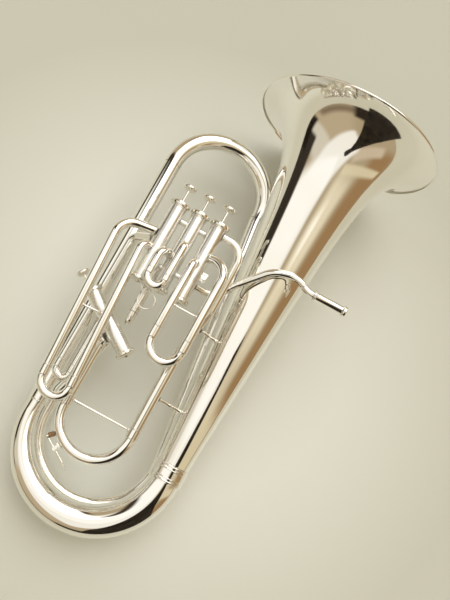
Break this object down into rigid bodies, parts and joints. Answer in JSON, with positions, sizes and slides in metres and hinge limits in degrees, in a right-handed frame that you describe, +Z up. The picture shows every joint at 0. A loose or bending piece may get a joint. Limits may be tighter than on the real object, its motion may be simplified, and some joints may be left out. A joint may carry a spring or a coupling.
{
  "type": "euphonium",
  "caption": "Brass euphonium lying on its back: conical bell, looped branches, upright piston valves, a side valve and pulling tuning slides.",
  "frame": {"origin": "on the ground under the middle of the lying instrument's box", "axes": "+Y from the bottom bow towards the bell mouth, +Z up, away from the ground and towards the valve side"},
  "size_m": [0.4004, 0.7338, 0.2959],
  "materials": {
    "bell": "polished silver plate on brass",
    "bell_brace_lower": "polished silver plate on brass",
    "bell_brace_upper": "polished silver plate on brass",
    "bell_ferrule": "polished silver plate on brass",
    "bottom_bow": "polished silver plate on brass",
    "bottom_cap_1": "polished silver plate on brass",
    "bottom_cap_2": "polished silver plate on brass",
    "bottom_cap_3": "polished silver plate on brass",
    "bottom_cap_4": "polished silver plate on brass",
    "bow_ferrule": "polished silver plate on brass",
    "finger_button_1": "polished silver plate on brass",
    "finger_button_2": "polished silver plate on brass",
    "finger_button_3": "polished silver plate on brass",
    "finger_button_4": "polished silver plate on brass",
    "finger_ring": "polished silver plate on brass",
    "first_slide_crook": "polished silver plate on brass",
    "first_slide_tubes": "polished silver plate on brass",
    "inner_bow": "polished silver plate on brass",
    "inner_branch": "polished silver plate on brass",
    "leadpipe": "polished silver plate on brass",
    "leadpipe_ferrule": "polished silver plate on brass",
    "loop_slide_back_tube": "polished silver plate on brass",
    "loop_slide_crook": "polished silver plate on brass",
    "loop_slide_front_tube": "polished silver plate on brass",
    "lyre_holder": "polished silver plate on brass",
    "lyre_screw": "polished silver plate on brass",
    "main_slide_crook": "polished silver plate on brass",
    "main_slide_left_tube": "polished silver plate on brass",
    "main_slide_right_tube": "polished silver plate on brass",
    "mouthpiece_receiver": "polished silver plate on brass",
    "outer_branch": "polished silver plate on brass",
    "piston_1": "ground nickel alloy",
    "piston_2": "ground nickel alloy",
    "piston_3": "ground nickel alloy",
    "piston_4": "ground nickel alloy",
    "rear_slide_crook": "polished silver plate on brass",
    "rear_slide_left_tube": "polished silver plate on brass",
    "rear_slide_right_tube": "polished silver plate on brass",
    "second_slide_crook": "polished silver plate on brass",
    "second_slide_left_tube": "polished silver plate on brass",
    "second_slide_right_tube": "polished silver plate on brass",
    "third_slide_crook": "polished silver plate on brass",
    "third_slide_tubes": "polished silver plate on brass",
    "top_bow": "polished silver plate on brass",
    "top_cap_1": "polished silver plate on brass",
    "top_cap_2": "polished silver plate on brass",
    "top_cap_3": "polished silver plate on brass",
    "top_cap_4": "polished silver plate on brass",
    "valve_casing_1": "polished silver plate on brass",
    "valve_casing_2": "polished silver plate on brass",
    "valve_casing_3": "polished silver plate on brass",
    "valve_casing_4": "polished silver plate on brass",
    "valve_feed_tube": "polished silver plate on brass",
    "valve_spring_1": "drawn spring wire",
    "valve_spring_2": "drawn spring wire",
    "valve_spring_3": "drawn spring wire",
    "valve_spring_4": "drawn spring wire",
    "water_key_lever": "polished silver plate on brass",
    "water_key_saddle": "polished silver plate on brass"
  },
  "bodies": {
    "horn": {"bell": "bell", "bell_brace_lower": "bell_brace_lower", "bell_brace_upper": "bell_brace_upper", "bell_ferrule": "bell_ferrule", "bottom_bow": "bottom_bow", "bottom_cap_1": "bottom_cap_1", "bottom_cap_2": "bottom_cap_2", "bottom_cap_3": "bottom_cap_3", "bottom_cap_4": "bottom_cap_4", "bow_ferrule": "bow_ferrule", "finger_ring": "finger_ring", "first_slide_tubes": "first_slide_tubes", "inner_bow": "inner_bow", "inner_branch": "inner_branch", "leadpipe": "leadpipe", "leadpipe_ferrule": "leadpipe_ferrule", "loop_slide_back_tube": "loop_slide_back_tube", "loop_slide_front_tube": "loop_slide_front_tube", "lyre_holder": "lyre_holder", "main_slide_left_tube": "main_slide_left_tube", "main_slide_right_tube": "main_slide_right_tube", "mouthpiece_receiver": "mouthpiece_receiver", "outer_branch": "outer_branch", "rear_slide_left_tube": "rear_slide_left_tube", "rear_slide_right_tube": "rear_slide_right_tube", "second_slide_left_tube": "second_slide_left_tube", "second_slide_right_tube": "second_slide_right_tube", "third_slide_tubes": "third_slide_tubes", "top_bow": "top_bow", "top_cap_1": "top_cap_1", "top_cap_2": "top_cap_2", "top_cap_3": "top_cap_3", "top_cap_4": "top_cap_4", "valve_casing_1": "valve_casing_1", "valve_casing_2": "valve_casing_2", "valve_casing_3": "valve_casing_3", "valve_casing_4": "valve_casing_4", "valve_feed_tube": "valve_feed_tube", "valve_spring_1": "valve_spring_1", "valve_spring_2": "valve_spring_2", "valve_spring_3": "valve_spring_3", "valve_spring_4": "valve_spring_4"},
    "valve_1": {"piston_1": "piston_1", "finger_button_1": "finger_button_1"},
    "valve_2": {"piston_2": "piston_2", "finger_button_2": "finger_button_2"},
    "valve_3": {"piston_3": "piston_3", "finger_button_3": "finger_button_3"},
    "valve_4": {"piston_4": "piston_4", "finger_button_4": "finger_button_4"},
    "first_slide": {"first_slide_crook": "first_slide_crook"},
    "second_slide": {"second_slide_crook": "second_slide_crook"},
    "third_slide": {"third_slide_crook": "third_slide_crook"},
    "rear_slide": {"rear_slide_crook": "rear_slide_crook"},
    "loop_slide": {"loop_slide_crook": "loop_slide_crook"},
    "main_slide": {"main_slide_crook": "main_slide_crook", "water_key_saddle": "water_key_saddle"},
    "water_key": {"water_key_lever": "water_key_lever"},
    "lyre_screw": {"lyre_screw": "lyre_screw"}
  },
  "joints": [
    {"name": "valve_1_press", "type": "slide", "parent": "horn", "child": "valve_1", "axis": [0, -0.9917, -0.1288], "range_m": [0, 0.016], "stiffness_N_per_m": 70, "springref_m": -0.02, "deforming": ["valve_spring_1"]},
    {"name": "valve_2_press", "type": "slide", "parent": "horn", "child": "valve_2", "axis": [0, -0.9917, -0.1288], "range_m": [0, 0.016], "stiffness_N_per_m": 70, "springref_m": -0.02, "deforming": ["valve_spring_2"]},
    {"name": "valve_3_press", "type": "slide", "parent": "horn", "child": "valve_3", "axis": [0, -0.9917, -0.1288], "range_m": [0, 0.016], "stiffness_N_per_m": 70, "springref_m": -0.02, "deforming": ["valve_spring_3"]},
    {"name": "valve_4_press", "type": "slide", "parent": "horn", "child": "valve_4", "axis": [0.8277, -0.5607, 0.0208], "range_m": [0, 0.016], "stiffness_N_per_m": 70, "springref_m": -0.02, "deforming": ["valve_spring_4"]},
    {"name": "first_slide_pull", "type": "slide", "parent": "horn", "child": "first_slide", "axis": [0, -0.9917, -0.1288], "range_m": [0, 0.04]},
    {"name": "second_slide_pull", "type": "slide", "parent": "horn", "child": "second_slide", "axis": [0, -0.9917, -0.1288], "range_m": [0, 0.011]},
    {"name": "third_slide_pull", "type": "slide", "parent": "horn", "child": "third_slide", "axis": [0.0624, -0.9906, -0.1216], "range_m": [0, 0.06]},
    {"name": "main_slide_pull", "type": "slide", "parent": "horn", "child": "main_slide", "axis": [0, -0.9917, -0.1288], "range_m": [0, 0.045]},
    {"name": "rear_slide_pull", "type": "slide", "parent": "horn", "child": "rear_slide", "axis": [0, -0.9917, -0.1288], "range_m": [0, 0.03]},
    {"name": "loop_slide_pull", "type": "slide", "parent": "horn", "child": "loop_slide", "axis": [0, -0.9917, -0.1288], "range_m": [0, 0.018]},
    {"name": "water_key_turn", "type": "hinge", "parent": "main_slide", "child": "water_key", "pos_m": [-0.10551, -0.27684, 0.08979], "axis": [-0.1115, -0.128, 0.9855], "range_deg": [0, 12], "stiffness_Nm_per_rad": 0.03, "springref_deg": -17.19},
    {"name": "lyre_screw_turn", "type": "hinge", "parent": "horn", "child": "lyre_screw", "pos_m": [-0.04472, 0.01291, 0.17468], "axis": [-0.1115, -0.128, 0.9855], "continuous": true}
  ]
}
